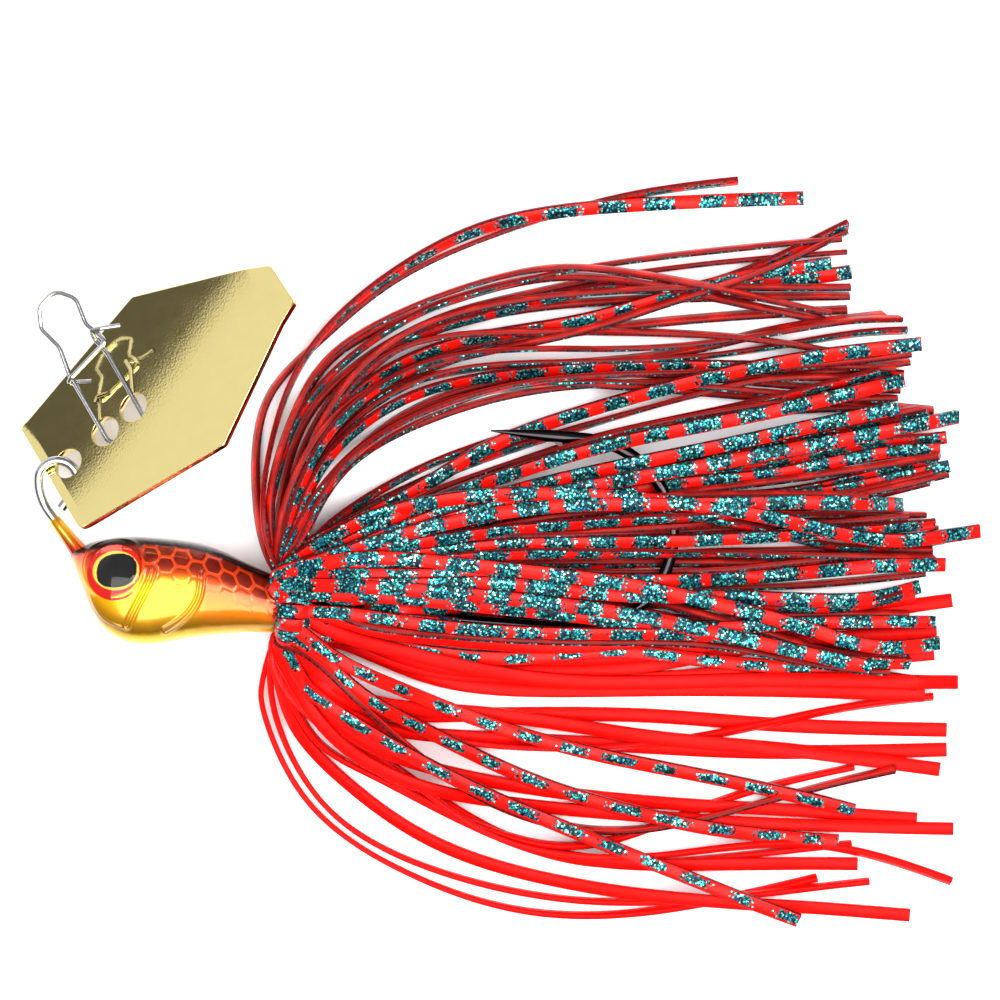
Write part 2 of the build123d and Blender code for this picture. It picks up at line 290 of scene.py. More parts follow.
def map_cells(route, offset, widths):
    """Cells of the height map along a route, some way to one side of it."""
    ways = directions(route)
    across = np.stack([-ways[:, 1], ways[:, 0]], axis=1)
    spot = ((route + across * offset * widths[:, None] - GRID_LOW) / CELL).astype(int)
    return tuple(np.clip(spot, 0, np.array(GRID_SIZE) - 1).T)


def settle(route, start_z, half_heights, heights, widths):
    """Height of a strand along its route: it starts on the collar and lies on what is under it."""
    count = len(route)
    under = np.full(count, TABLE_Z)
    for offset in (-1, -0.5, 0, 0.5, 1):
        under = np.maximum(under, heights[map_cells(route, offset, widths)])
    run = np.linspace(0, 1, count) * np.sum(np.linalg.norm(np.diff(route, axis=0), axis=1))
    near = soft_step(run, FREE_FROM, FREE_AT)
    floor = start_z * (1 - near) + (under + half_heights) * near
    fade = np.exp(-run / DROOP_RUN)
    z = np.maximum(floor, start_z * fade + floor * (1 - fade))
    z[0] = start_z
    for _ in range(SAG_STEPS):
        smooth = z.copy()
        smooth[1:-1] = 0.5 * z[1:-1] + 0.25 * (z[:-2] + z[2:]) - SAG
        smooth[-1] = 2 * smooth[-2] - smooth[-3]
        z = np.maximum(smooth, floor)
        z[0] = start_z
    for _ in range(SMOOTH_STEPS):
        z[1:-1] = 0.5 * z[1:-1] + 0.25 * (z[:-2] + z[2:])
    return z


def lay(route, tops, heights, widths):
    """Raises the height map where a strand now lies."""
    for offset in np.linspace(-1, 1, 7):
        np.maximum.at(heights, map_cells(route, offset, widths), tops)


def strand_mesh(path, run, across, face, width, tag):
    """Points, faces and the numbers that the silicone materials read, for one flat strip."""
    a, b, c = width / 2, STRAND_THICK / 2, CORNER
    outline = [(a - c, b), (-a + c, b), (-a, b - c), (-a, -b + c)]
    outline += [(-u, -v) for u, v in outline]
    points = [p + x * u + y * v for p, x, y in zip(path, across, face) for u, v in outline]
    numbers = [(r, u / a, side, tag) for r in run for (u, _), side in zip(outline, FACE_OF)]
    return points, ring_faces(len(path), len(outline)), numbers


def gather(store, points, faces, numbers):
    """Adds a strand to a growing mesh."""
    start = len(store[0])
    store[0].extend(points)
    store[1].extend([tuple(i + start for i in face) for face in faces])
    store[2].extend(numbers)


def silicone_piece(name, store, material, node):
    """One piece from all the strands of a store."""
    points, faces, numbers = store
    piece = mesh_object(name, points, faces, sharp_angle=50)
    float_attributes(piece, dict(zip(("along", "across", "face", "tag"), np.array(numbers).T)))
    dress(piece, material, node)


def root_of(side, first, spread):
    """Two points, inside the collar and where the strand leaves it on its way to its first point."""
    x, y = first
    up = np.sign(y) * 0.97 if abs(y) > 4.5 else np.clip(y / 5.2, -1, 1)
    out = np.array((0.0, up, side * (1 - up * up) ** 0.5))
    out = out / np.linalg.norm(out)
    base = SHANK_SIDE * out[1] + UP * out[2]
    at, leaves, clear = (2.2, 0.5, 0.35) if x < 4.4 else (3.4, 5.4, 0.4)
    inner = SHANK_WAY * at + base * COLLAR_INSIDE
    return [inner, SHANK_WAY * leaves + base * (COLLAR_INSIDE + clear + spread)]


def unpack(table):
    """A table's rows, each with its lobe's full name in front and its points as pairs."""
    return [
        ("skirt_" + lobe, *row[:4], *zip(row[4::2], row[5::2]))
        for lobe, rows in table
        for row in rows
    ]


# Routes of the strands from the table upwards, listed under the name of their lobe. Each row
# is the side of the collar that the strand leaves from (1 towards the viewer, -1 towards the table),
# its twist at the collar and at the tip (0 lies flat, 90 stands on edge), its width, and then x and y
# of each point that it passes through.
WIDE, FULL, SLIM, FINE = 1.55, 1.4, 1.2, 1.0
LOW_STRANDS = unpack([
    ("bottom_sweep", [
        (-0.6, 80, 78, FINE, -1.5, -8.4, -1.6, -11.2, 2.8, -21.2, 14.1, -29.7, 27.6, -34.1, 42.5, -34,
         60, -30.4),
        (-0.2, 80, 70, FINE, -0.6, -8.3, 0.4, -14, 6, -23.1, 18.6, -29.9, 31.3, -32.7, 42.5, -33,
         65.8, -30.8),
        (0.1, 30, 8, FULL, 0.4, -8, 2.4, -14, 8.5, -20.5, 18.6, -27, 33.5, -31.2, 48, -32.8, 70.3, -34.6),
        (0.3, 60, 60, SLIM, 0.9, -8, 4.5, -15, 10.8, -19.1, 22, -24.8, 33.5, -28.6, 44.5, -28.6,
         63.8, -26.6),
        (-0.4, 50, 10, FULL, 0.6, -7.4, 4.7, -12.8, 12, -17.6, 24.2, -25.3, 37, -28.6, 50, -28.8,
         64.5, -28.9),
    ]),
    ("plain_lower", [
        (-0.5, 60, 62, SLIM, 1.2, -7, 5.6, -13.6, 14.5, -20.5, 27.6, -26.1, 37.1, -26.2, 50, -21.6,
         64.1, -18.1),
        (-0.6, 65, 60, SLIM, 1, -7, 6, -12.5, 17, -21, 26.4, -26.4, 42, -27.8, 59, -26.6, 74.9, -30.8),
        (-0.3, 20, 4, FULL, 1.6, -6.8, 7.5, -13.6, 19.7, -18.8, 37, -21.6, 52, -22.6, 71.1, -23.9),
        (0.2, 15, 4, FULL, 1.4, -7, 7.4, -15.2, 20, -21, 37.1, -23.2, 52, -24.2, 75.1, -25),
        (-0.2, 20, 5, WIDE, 2.2, -6.6, 9.5, -12.6, 22.6, -14.9, 37, -15.6, 52, -16.4, 74.4, -16.2),
        (0.1, 12, 0, WIDE, 2.2, -6, 9, -11, 22.6, -12.3, 40.8, -12.4, 55, -13.4, 74.4, -14),
        (-0.4, 60, 60, SLIM, 2.2, -6.6, 9, -12, 22.6, -15.5, 34.5, -16, 48.1, -14.5, 61.5, -11.8,
         72.9, -10.3),
        (0.3, 15, 0, WIDE, 2.4, -5.6, 9.8, -10.2, 22.6, -12.1, 40.8, -14.6, 56, -16.1, 73.6, -18.4),
    ]),
    ("plain_upper", [
        (-0.3, 10, 0, WIDE, 6.4, -4, 14.9, -7.4, 25.6, -9.5, 44.6, -9.5, 71.8, -10),
        (-0.6, 10, 0, WIDE, 6, -3.4, 14, -6.6, 25, -8, 40.2, -8.3, 57.1, -6.9, 73, -5.5),
        (-0.5, 10, 0, WIDE, 6, -3, 14, -5.8, 22.6, -7.4, 40.2, -6.9, 54.1, -4.6, 73.3, -3.2),
        (-0.4, 10, -5, WIDE, 6, -2.6, 14, -4.6, 27, -6, 40, -5.6, 51.2, -3.9, 63, -1.4, 75, 0.4),
    ]),
    ("top_sweep", [
        (-0.3, 80, 75, FULL, -1, 6, -2.2, 11.6, -1.3, 22.1, 4.5, 29, 13.1, 35.9, 26.2, 41.7, 38.9, 45.3,
         51.2, 47),
    ]),
    ("upper_fan", [
        (-0.5, 75, 70, FULL, 0.6, 6, 2.2, 12, 6.4, 21.6, 13.8, 28.6, 25.9, 32.5, 43, 33.9, 63.6, 34.2),
        (-0.7, 75, 80, FULL, 1, 6, 3.3, 13, 8.3, 20.8, 18, 26.4, 30, 29.6, 45.7, 31.6, 63.3, 32.7),
        (0, 75, 55, FULL, 0.2, 6, 0.9, 13.6, 4.5, 22.4, 13.8, 29.6, 22.6, 33.1, 40.8, 36.9, 63.3, 39.1),
        (0.1, 70, 20, WIDE, 0.4, 6, 1.6, 12.6, 5.2, 21.6, 14.3, 29, 24.4, 32.3, 35, 34.8, 48.1, 35.2,
         63.8, 36.9),
        (0.2, 70, 60, FULL, 0.8, 6, 2.3, 12.7, 8, 22, 17, 27.2, 26.2, 29.4, 33.6, 31, 43, 34, 52.8, 37.2,
         63.4, 42.2),
        (0.3, 70, 10, FULL, 0.6, 6, 2, 11, 7.2, 21.8, 19.3, 28.8, 33.6, 31.4, 49, 35.6, 61.4, 37.8),
        (0.4, 72, 70, FULL, -0.1, 6.4, -0.3, 12.5, 3.7, 24.2, 9.2, 29.5, 21.5, 34.4, 32, 36.3, 43, 34.9,
         61.3, 31.3),
        (-0.4, 70, 75, FULL, 1.6, 6.4, 4.6, 14.5, 11, 22.6, 22.6, 26.2, 42.2, 27.6, 53.6, 30, 67.4, 32.1),
        (-0.2, 68, 72, FULL, 1.8, 6.4, 6, 17, 13.6, 23.6, 22.6, 26.4, 45.2, 27.3, 63.3, 29.9, 70, 30.4),
        (0.3, 72, 72, FULL, 1.2, 6.6, 2.9, 14, 9.4, 25, 17, 29.2, 29.8, 30.1, 48.1, 29.8, 65, 27.4),
    ]),
    ("upper_rear", [
        (-0.2, 60, 60, FULL, 2, 6.4, 5.6, 12.9, 12.2, 19.8, 21.5, 24, 35.8, 25.6, 57.8, 24.2, 69.2, 23.8),
        (0.1, 55, 25, FULL, 1.7, 6.6, 5, 14.6, 12.3, 21.6, 21.3, 24.8, 38.9, 26.3, 56.4, 26.2, 69.6, 25.3),
        (-0.5, 60, 65, FULL, 2.6, 6.4, 7.5, 14.6, 17.6, 20.7, 31.2, 24, 52.3, 25, 70.3, 26.9),
        (0.3, 60, 70, FULL, 2.4, 6.8, 6.8, 13.8, 15, 19.8, 25, 23.9, 37.1, 24.2, 51.7, 23.2, 72.9, 21.5),
        (-0.3, 40, 68, FULL, 3.2, 5, 7.2, 8.6, 13.8, 12.4, 20.7, 15.4, 34.3, 19.8, 46.8, 23.3, 55.6, 25,
         69.4, 24.8),
    ]),
    ("under_upper", [
        (-0.9, 20, 60, FULL, 6, 3.4, 16, 8.8, 33.6, 12.7, 49.3, 16.3, 72.1, 21.2),
        (-0.8, 10, 70, FULL, 6, 2.8, 20, 8.4, 40, 12.6, 57.4, 14.9, 73.4, 17.4),
        (-0.9, 10, 70, FULL, 6, 2.4, 20, 7.6, 42, 10.6, 60, 13, 73.9, 14.9),
        (-0.8, 10, 68, FULL, 6, 2, 22, 7.2, 44, 9.8, 60, 10.9, 72.3, 13.6),
        (-0.7, 12, 15, FULL, 6, 2.6, 20, 7.8, 38.6, 13.2, 49.3, 14.6, 61.6, 16.7, 74.2, 18.5),
        (-0.6, 12, 12, FULL, 6, 2.2, 20, 7, 42.2, 13, 54.3, 14.3, 66.1, 16.6, 73.4, 17.2),
        (-0.6, 12, 30, FULL, 6, 1.8, 22, 6.6, 45, 11.2, 57.1, 12.4, 65.8, 14.3, 73, 16.2),
        (-0.5, 15, 20, FULL, 6, 1.6, 24, 6.8, 48, 10.9, 61.6, 12.6, 74.2, 15.3),
    ]),
    ("under_lower", [
        (-0.9, 10, 60, FULL, 6, 0.8, 22, 4.2, 42, 6.4, 58, 9.2, 73.4, 8.4),
        (-0.9, 10, 65, FULL, 6, 0.4, 24, 3, 45, 5.6, 72.8, 6),
        (-0.8, 10, 12, FULL, 6, 0.6, 31.4, 4.3, 47.5, 4.8, 58.7, 4.9, 72.6, 4.9),
        (-0.8, 10, 60, FULL, 6, 0, 24, 1.6, 38.5, 1.7, 56.5, 2, 72, 3.4),
        (-0.9, 10, 10, FULL, 6, -0.6, 24, -1, 45, -2.4, 60, -2.2, 72.9, -2),
        (-0.8, 10, 50, FULL, 6, -1.2, 24, -2.4, 42, -3.4, 58, -4.8, 70, -6.2),
    ]),
])
HIGH_STRANDS = unpack([
    ("printed_low", [
        (0.3, 60, 62, FULL, 2.8, -5, 7.2, -8.4, 13, -14, 21.5, -20.6, 32.8, -24.8, 42.6, -24.6, 53.6, -22,
         68.5, -18.2),
        (0.6, 8, 4, WIDE, 5.6, -3.4, 15.7, -5, 28, -5.9, 37.2, -5.2, 48.3, -6.3, 59.7, -7.3, 71.1, -8.7),
    ]),
    ("plain_upper", [
        (0.5, 10, 0, WIDE, 2.6, -0.9, 5.6, -2.4, 13.9, -5.1, 29.8, -8.3, 53.4, -8.4, 75.5, -8.7),
        (0.7, 10, 0, WIDE, 2.7, -0.3, 9.9, -2.3, 17.7, -3.6, 29.8, -4.6, 40.8, -3.8, 55.4, -1.2, 70.8, 0.8),
    ]),
    ("printed_low", [
        (0.4, 12, 8, WIDE, 1.2, -4.8, 3.4, -8.4, 7.8, -12.1, 13.3, -15.5, 23.8, -21.1, 38.9, -27.5,
         57.8, -35),
        (0.6, 14, 8, WIDE, 2.4, -3.6, 8.3, -8.5, 13.4, -12, 24.4, -17.8, 35.3, -21.8, 51.2, -25.2,
         62.2, -26.2),
        (0.8, 12, 8, WIDE, 1.2, -1.6, 5.5, -4.8, 12.5, -8.6, 23.8, -13.3, 40, -17.6, 56.1, -20.9,
         64, -22.9),
    ]),
    ("top_sweep", [
        (0.5, 60, 6, WIDE, -0.4, 5.8, -1.2, 11.1, 0.7, 22.2, 6.3, 31.2, 15.8, 38.4, 26.2, 42.6, 44.4, 44.6,
         58.5, 45.1),
    ]),
    ("upper_rear", [
        (0.5, 35, 12, WIDE, 2.8, 5.9, 8.9, 9.3, 15.4, 12.6, 23.9, 17.6, 36.7, 22.1, 54.5, 26.5, 71.3, 28.8),
    ]),
])
TOP_STRANDS = unpack([
    ("over_upper", [
        (0.2, 40, 62, FULL, 3.4, 4.8, 11.6, 9, 24.8, 14.4, 33.6, 17.7, 51.5, 21.7, 68.6, 22.8),
        (0.3, 30, 12, WIDE, 3, 4.6, 13.8, 9.7, 26.3, 14.5, 37.2, 17.7, 54.3, 21.2, 69.4, 24.8),
        (0.5, 25, 12, WIDE, 3, 4.2, 16, 9.2, 31.4, 13.8, 47.5, 17.2, 59.6, 19.8, 68.6, 21.7),
        (0.6, 20, 10, WIDE, 3.2, 3.8, 16, 8.4, 31.4, 12.4, 49.3, 15.7, 66.7, 19, 75.6, 20.8),
    ]),
    ("over_middle", [
        (0.5, 20, 50, FULL, 1.7, 4.2, 13.8, 6.6, 26.8, 8.4, 42.4, 9.5, 56, 10, 72.1, 9.9),
        (0.7, 15, 35, FULL, 1.1, 3.6, 13.8, 5.4, 24.5, 6.6, 41.5, 7, 61.6, 8, 72.8, 8.9),
        (0.8, 12, 62, FULL, 0.9, 3, 16, 4.8, 24.8, 5.6, 37.4, 5.7, 53.1, 5.6, 72.8, 5.1),
        (0.9, 10, 4, WIDE, 0.8, 2.6, 13.8, 3.4, 27.4, 3.2, 38.5, 2.7, 53.9, 3.1, 65.3, 4.2, 73.9, 4.4),
    ]),
    ("over_lower", [
        (0.6, 10, 30, FULL, 2.4, -0.6, 8.7, -0.9, 18.7, -2.3, 35, -3.1, 50, -3.6, 62, -5.8, 70, -6.5),
        (0.8, 10, 8, FULL, 1, 0.9, 9.9, 1.1, 22, 0, 32, -1.1, 45, -2.4, 60, -2, 72.9, -2),
    ]),
    ("over_upper", [
        (0.7, 25, 5, WIDE, 1.8, 4.6, 7.9, 8.4, 14.6, 10.8, 24, 12.1, 38.3, 11.8, 55.4, 9.4, 66.1, 7.2,
         72.8, 7.4, 78, 8.1),
    ]),
    ("over_middle", [
        (0.9, 20, 6, WIDE, 0.6, 2.9, 8.5, 6.1, 19.3, 9.1, 31.1, 10.9, 42.4, 11.1, 59.4, 11.3, 69.2, 11),
    ]),
    ("over_lower", [
        (0.95, 8, 6, WIDE, 1, 1.8, 15, 2.4, 25.1, 2.4, 36.5, 1.2, 52.7, 0.8, 64.5, 0.6, 71.3, 1.9),
        (0.95, 6, 4, WIDE, 0.1, 1.9, 8.9, 2.2, 20.1, 1.4, 33.1, -0.1, 43.6, -1.9, 53.6, -4.2, 65.5, -6.8),
    ]),
    ("over_middle", [
        (0.95, 8, 4, WIDE, 0.3, 3.1, 5, 4.6, 10.7, 5.3, 22.9, 4.3, 34.8, 2.9, 45, 1, 58.6, -2.6, 66, -4.6,
         73.4, -4.3),
    ]),
])


def hook_line():
    """The middle of the hook's shank, bend and point, which the upper strands lie on."""
    centre, radius = np.array((33.3, 7.8)), 10.5
    angles = np.radians(np.arange(-94.6, 85, 4))
    bend = centre + radius * np.column_stack([np.cos(angles), np.sin(angles)])
    start = SHANK_WAY[:2] * 6.0
    point = bend[-1] + np.array((-1.0, 0.09)) * np.linspace(0.5, 10, 12)[:, None]
    shank = start + (bend[0] - start) * np.linspace(0, 1, 30)[:, None]
    return evenly(np.concatenate([shank, bend, point]), 0.3)


def companions():
    """Strands that lie on edge in the shade just under the top ones."""
    extra = []
    for i, (lobe, _, _, _, _, *route) in enumerate(TOP_STRANDS):
        below = lobe.replace("over_upper", "under_upper").replace("over_middle", "under_upper")
        below = below.replace("over_lower", "under_lower")
        aside = (-0.95, 0.9)[i % 2]
        shorter = 0.97 - 0.01 * (i % 4)
        points = [(x * shorter, y + aside * min(1, x / 12)) for x, y in route if x > 4]
        points = [(6.0, points[0][1] * 6.0 / points[0][0])] + [p for p in points if p[0] > 8]
        extra.append((below, -0.5 + 0.06 * i, 60, 58 + 2 * (i % 5), FULL, *points))
    return extra


def fan_companions():
    """Thin strands rolled over beside every other strand of the upper fan."""
    extra = []
    for i, (lobe, side, _, _, _, *route) in enumerate(LOW_STRANDS):
        if lobe in ("skirt_upper_fan", "skirt_upper_rear", "skirt_under_upper"):
            aside = (0.9, -1.0, 1.3)[i % 3]
            points = [(x - 0.4 * (i % 3), y + aside * min(1, max(0, x - 2) / 14)) for x, y in route]
            extra.append((lobe, -side, 66, 62 + 3 * (i % 4), SLIM, *points))
    return extra[::2]


def build_skirt():
    """Lays every strand and collects one mesh for each lobe."""
    draw = np.random.default_rng(SEED)
    heights = np.full(GRID_SIZE, TABLE_Z)
    lobes = {}
    for strand in LOW_STRANDS + fan_companions() + HIGH_STRANDS + companions():
        add_strand(lobes, heights, draw, *strand)
    hook = hook_line()
    tops = np.where(hook[:, 0] < KEEPER_REAR, KEEPER_TOP, HOOK_TOP)
    lay(hook, tops, heights, np.full(len(hook), HOOK_REACH))
    for strand in TOP_STRANDS:
        add_strand(lobes, heights, draw, *strand)
    return lobes


def add_strand(lobes, heights, draw, lobe, side, twist_root, twist_tip, width, *route):
    """Lays one strand on the pile and adds its mesh to its lobe."""
    root = root_of(side, route[0], draw.uniform(0.0, 0.7))
    line = smooth_through([*(p[:2] for p in root), *route])
    t = np.linspace(0, 1, len(line))
    if twist_root >= TURN_OVER and draw.uniform() < 0.65:
        twist_root += TURNED
    if twist_tip >= TURN_OVER and draw.uniform() < 0.8:
        twist_tip += TURNED
    wobble = draw.uniform(-12, 12) * np.sin(t * pi * draw.uniform(1.5, 3.5) + draw.uniform(0, 6))
    twist = np.radians(twist_root + (twist_tip - twist_root) * soft_step(t, 0, 1) + wobble)
    flat, edge = np.abs(np.cos(twist)), np.abs(np.sin(twist))
    half = (width * edge + STRAND_THICK * flat) / 2 + 0.02
    wide = (width * flat + STRAND_THICK * edge) / 2
    z = settle(line, root[1][2], half, heights, wide)
    lay(line, z + half, heights, wide)
    z = np.where(z > PILE_LOOSE, PILE_LOOSE + (z - PILE_LOOSE) * PILE_PRESS, z)
    path = evenly(np.column_stack([line, z]), 0.5)
    twist = np.interp(np.linspace(0, 1, len(path)), t, twist)
    ways = directions(path)
    level = np.cross(UP, ways)
    level /= np.linalg.norm(level, axis=1)[:, None]
    upward = np.cross(ways, level)
    c, s = np.cos(twist)[:, None], np.sin(twist)[:, None]
    across, face = level * c + upward * s, upward * c - level * s
    mesh = strand_mesh(path, run_along(path), across, face, width, draw.uniform(0, 1))
    gather(lobes.setdefault(lobe, ([], [], [])), *mesh)


def make_skirt(printed, island, plain):
    finishes = {"skirt_printed_low": island, **dict.fromkeys(PLAIN_LOBES, plain)}
    for lobe, store in build_skirt().items():
        silicone_piece(lobe + "_strands", store, finishes.get(lobe, printed), lobe)


def plain_silicone():
    """Translucent red silicone without print, with painted shade darkening each strand towards its edges."""
    n = Nodes("plain_silicone")
    point = n.object_point()
    colour = n.mix(n.noise(point, 900.0, 3.0), linear(208, 3, 2), linear(234, 12, 5))
    # painted shade: darker towards the long edges and side faces of each strand
    painted_edge_shade = n.step(n.size(n.number("across")), 0.55, 0.99)
    colour = n.mix(n.times(painted_edge_shade, 0.6), colour, linear(178, 3, 2))
    ripple = n.bump(n.noise(point, 400.0), 0.3)
    return n.surface(colour, 0.42, Normal=ripple, Subsurface_Weight=0.3, Specular_IOR_Level=0.06,
                     Subsurface_Radius=(0.0012, 0.0002, 0.0001))


FLAKE = 0.21  # size of a glitter flake in mm
HALF_STRAND = 0.7  # mm for the attribute across to go from 0 to 1
RAGGED = 0.9  # how far flakes stray over the ends of a bar


def flake_pattern(n, across, tag):
    """Glitter flakes in the print: the cells of a pattern laid along the strand."""
    sheet = n.add("CombineXYZ", X=n.number("along"), Y=n.times(across, HALF_STRAND), Z=n.times(tag, 90.0))
    return n.add("TexVoronoi", Vector=sheet.outputs[0], Scale=1 / FLAKE, Randomness=1.0).outputs


def print_mask(n, flakes, own, tag, period, bar, half_width, shift_range):
    """1 on the flakes that lie inside a printed bar; bars differ in length and stray sideways."""
    where = n.add("SeparateXYZ", Vector=flakes["Position"]).outputs
    shift = n.times(tag, 37.0)
    phase = n.over(n.plus(where["X"], shift), period)
    drift = n.noise(n.add("CombineXYZ", X=phase, Y=shift).outputs[0], 1.1)
    phase = n.plus(phase, n.times(drift, 0.9))
    from_middle = n.times(n.size(n.minus(n.math("FRACT", phase), 0.5)), period)
    stray = n.times(n.minus(own["Blue"], 0.5), RAGGED)
    in_bar = n.math("LESS_THAN", n.plus(from_middle, stray), bar / 2)
    offset = n.times(n.minus(n.math("FRACT", n.times(tag, 17.0)), 0.5), shift_range)
    sway = n.noise(n.add("CombineXYZ", X=where["X"], Y=shift).outputs[0], 0.35)
    offset = n.plus(offset, n.times(n.minus(sway, 0.5), shift_range))
    aside = n.plus(n.over(where["Y"], HALF_STRAND), offset)
    rounding = n.times(n.math("POWER", n.over(from_middle, bar / 2), 4.0), 0.1)
    in_width = n.math("LESS_THAN", n.plus(n.size(aside), rounding), half_width)
    return n.times(in_bar, in_width)


def glitter_colour_and_glints(n, own, flakes):
    """Black ink with teal flakes of random tone, a few of them bluish; the brightest, near-white flakes are
    painted glints.
    """
    # painted glint: the top of this ramp, up to near white, stands for flakes catching the light
    teal = n.ramp(own["Red"], stops(
        (0.0, 3, 14, 16), (0.30, 5, 34, 38), (0.50, 10, 84, 86), (0.70, 30, 156, 152),
        (0.84, 78, 206, 198), (0.94, 150, 236, 226), (1.0, 240, 255, 250)))
    bluish = n.times(n.math("GREATER_THAN", own["Green"], 0.8), 0.5)
    teal = n.mix(bluish, teal, linear(20, 90, 150))
    gap = n.step(flakes["Distance"], 0.38, 0.62)
    return n.mix(n.times(gap, 0.85), teal, linear(4, 12, 14))


def strand_red_and_shade(n, across, face, tag, own, shadow):
    """Red of a printed strand: bright on the printed face, brick on its back; painted shade turns its side
    faces and the edges of its face maroon.
    """
    lively = n.mix(n.math("FRACT", n.times(tag, 7.0)), linear(196, 10, 5), linear(238, 18, 8))
    # painted shade: the face darkens towards its long edges
    edge = n.step(n.size(across), 0.78, 0.98)
    # painted shade: the side faces are painted maroon
    side = n.minus(1.0, n.step(n.size(face), 0.55, 0.9))
    red = n.mix(side, lively, linear(126, 16, 14))
    red = n.mix(n.times(edge, 0.5), red, linear(84, 10, 12))
    back = n.math("LESS_THAN", face, -0.6)
    behind = n.mix(n.times(shadow, 0.5), linear(204, 32, 22), linear(96, 14, 16))
    red = n.mix(back, red, behind)
    rim = n.times(n.step(face, -0.05, 0.25), n.minus(1.0, n.step(face, 0.7, 0.98)))
    speckle = n.math("GREATER_THAN", n.plus(own["Blue"], n.times(shadow, 0.5)), 0.62)
    return n.mix(n.times(rim, speckle, 0.9), red, linear(26, 12, 18))


def printed_silicone(name, glow, **bars):
    """Red silicone with bars of teal glitter printed across one face."""
    n = Nodes(name)
    across, face, tag = n.number("across"), n.number("face"), n.number("tag")
    flakes = flake_pattern(n, across, tag)
    own = n.add("SeparateColor", Color=flakes["Color"]).outputs
    printed = print_mask(n, flakes, own, tag, **bars)
    inked = n.times(printed, n.math("GREATER_THAN", face, 0.3))
    red = strand_red_and_shade(n, across, face, tag, own, printed)
    colour = n.mix(inked, red, glitter_colour_and_glints(n, own, flakes))
    sparkle = n.times(inked, n.math("GREATER_THAN", own["Red"], 0.6))
    grit = n.bump(n.times(own["Green"], inked), 0.5, 0.00006)
    return n.surface(colour, n.minus(0.34, n.times(sparkle, 0.1)), Normal=grit,
                     Metallic=n.times(sparkle, 0.5), Specular_IOR_Level=0.11,
                     Subsurface_Weight=glow, Subsurface_Radius=(0.0006, 0.0001, 0.0001))


# ---------------------------------------------------------------- the head

# Stations along the head: x, top, bottom, half width, roundness of the outline.
HEAD_STATIONS = [
    (-22.45, 5.45, 5.25, 0.08, 2.0),
    (-22.25, 6.1, 4.6, 0.6, 2.0),
    (-21.6, 6.3, 3.0, 1.9, 2.1),
    (-20.6, 6.7, 0.5, 3.05, 2.3),
    (-19.2, 7.1, -2.1, 3.95, 2.5),
    (-17.4, 7.4, -3.6, 4.45, 2.6),
    (-15.2, 7.5, -4.3, 4.6, 2.6),
    (-12.6, 7.35, -4.25, 4.5, 2.5),
    (-9.6, 7.0, -3.7, 4.2, 2.3),
    (-6.4, 6.2, -3.3, 3.8, 2.15),
    (-3.0, 4.6, -3.05, 3.35, 2.0),
    (0.4, 3.05, -3.05, 3.05, 2.0),
]
HEAD_ROWS, HEAD_COLUMNS = 300, 320
GILL_FRONT = [(-12.9, 4.6), (-13.2, 3.3), (-13.9, 1.7), (-14.8, 0.0), (-15.9, -2.2)]
GILL_REAR = [(-7.8, 3.6), (-7.9, 1.8), (-8.4, 0.3), (-9.7, -1.3), (-11.8, -2.7)]
JAW = [(-20.0, 1.0), (-19.5, -0.1), (-18.6, -1.3), (-17.2, -2.1), (-15.9, -2.5)]
RIDGE_HEIGHT, RIDGE_WIDTH, RIDGE_SPREAD = 0.18, 0.14, 0.3  # the gill lines are pairs of fine ridges
SCALE_COLUMN, SCALE_ROW = 1.7, 1.85  # pitches of the scales behind the eye
SCALE_FIRST = (-13.4, 1.9)  # x of the first column, depth of its first scale below the back
GROOVE = 0.035  # depth of the lines between the scales
EYE_CENTRE = np.array((-17.2, 3.6, 3.75))
EYE_RADIUS, EYE_PRINT, EYE_DOME, EYE_GAP = 3.1, 0.3, 0.75, 0.02
SOCKET_RADIUS = EYE_RADIUS + 0.12
RIM_RADIUS, RIM_WIDTH, RIM_HEIGHT = EYE_RADIUS + 0.35, 0.25, 0.16
EYE_OUT = np.array((-sin(radians(5)), sin(radians(12)), 1.0))
EYE_OUT /= np.linalg.norm(EYE_OUT)


def line_distance(x, y, points):
    """Distance of each (x, y) from a smooth line."""
    gaps = np.full(x.shape, 1e9)
    for px, py in smooth_through(points, 0.1):
        gaps = np.minimum(gaps, (x - px) ** 2 + (y - py) ** 2)
    return np.sqrt(gaps)


def scale_edges(x, depth):
    """Distance from the nearest outline between the scales, 0 on the outline; rows follow the back."""
    near, second = np.full(x.shape, 1e9), np.full(x.shape, 1e9)
    for column in range(-1, 9):
        for row in range(-1, 5):
            middle = SCALE_FIRST[0] + column * SCALE_COLUMN
            below = SCALE_FIRST[1] + row * SCALE_ROW + (SCALE_ROW / 2 if column % 2 else 0)
            gap = np.hypot(x - middle, depth - below)
            second = np.where(gap < near, near, np.minimum(second, gap))
            near = np.minimum(near, gap)
    return (second - near) / 2


def head_outline(rows):
    """Points of the plain head, ring by ring, and their heights from belly, 0, to back, 1."""
    angle = 2 * pi * np.arange(HEAD_COLUMNS) / HEAD_COLUMNS
    c, s = np.cos(angle), np.sin(angle)
    points, heights = [], []
    for x, top, bottom, half_width, roundness in rows:
        reach = (np.abs(c) ** roundness + np.abs(s) ** roundness) ** (-1 / roundness)
        y = (top + bottom) / 2 + (top - bottom) / 2 * reach * c
        points.append(np.column_stack([np.full(HEAD_COLUMNS, x), y, half_width * reach * s]))
        heights.append(0.5 + 0.5 * reach * c)
    return np.concatenate(points), np.concatenate(heights)


def head_relief(x, y, edges, scaled):
    """How far the gill lines and the jaw stand out, and the lines between the scales sink in."""
    relief = np.zeros(len(x))
    for line, spread in ((GILL_FRONT, RIDGE_SPREAD), (GILL_REAR, RIDGE_SPREAD), (JAW, 0)):
        relief += RIDGE_HEIGHT * np.exp(-(((line_distance(x, y, line) - spread) / RIDGE_WIDTH) ** 2))
    return relief - GROOVE * scaled * (1 - soft_step(edges, 0.05, 0.22))


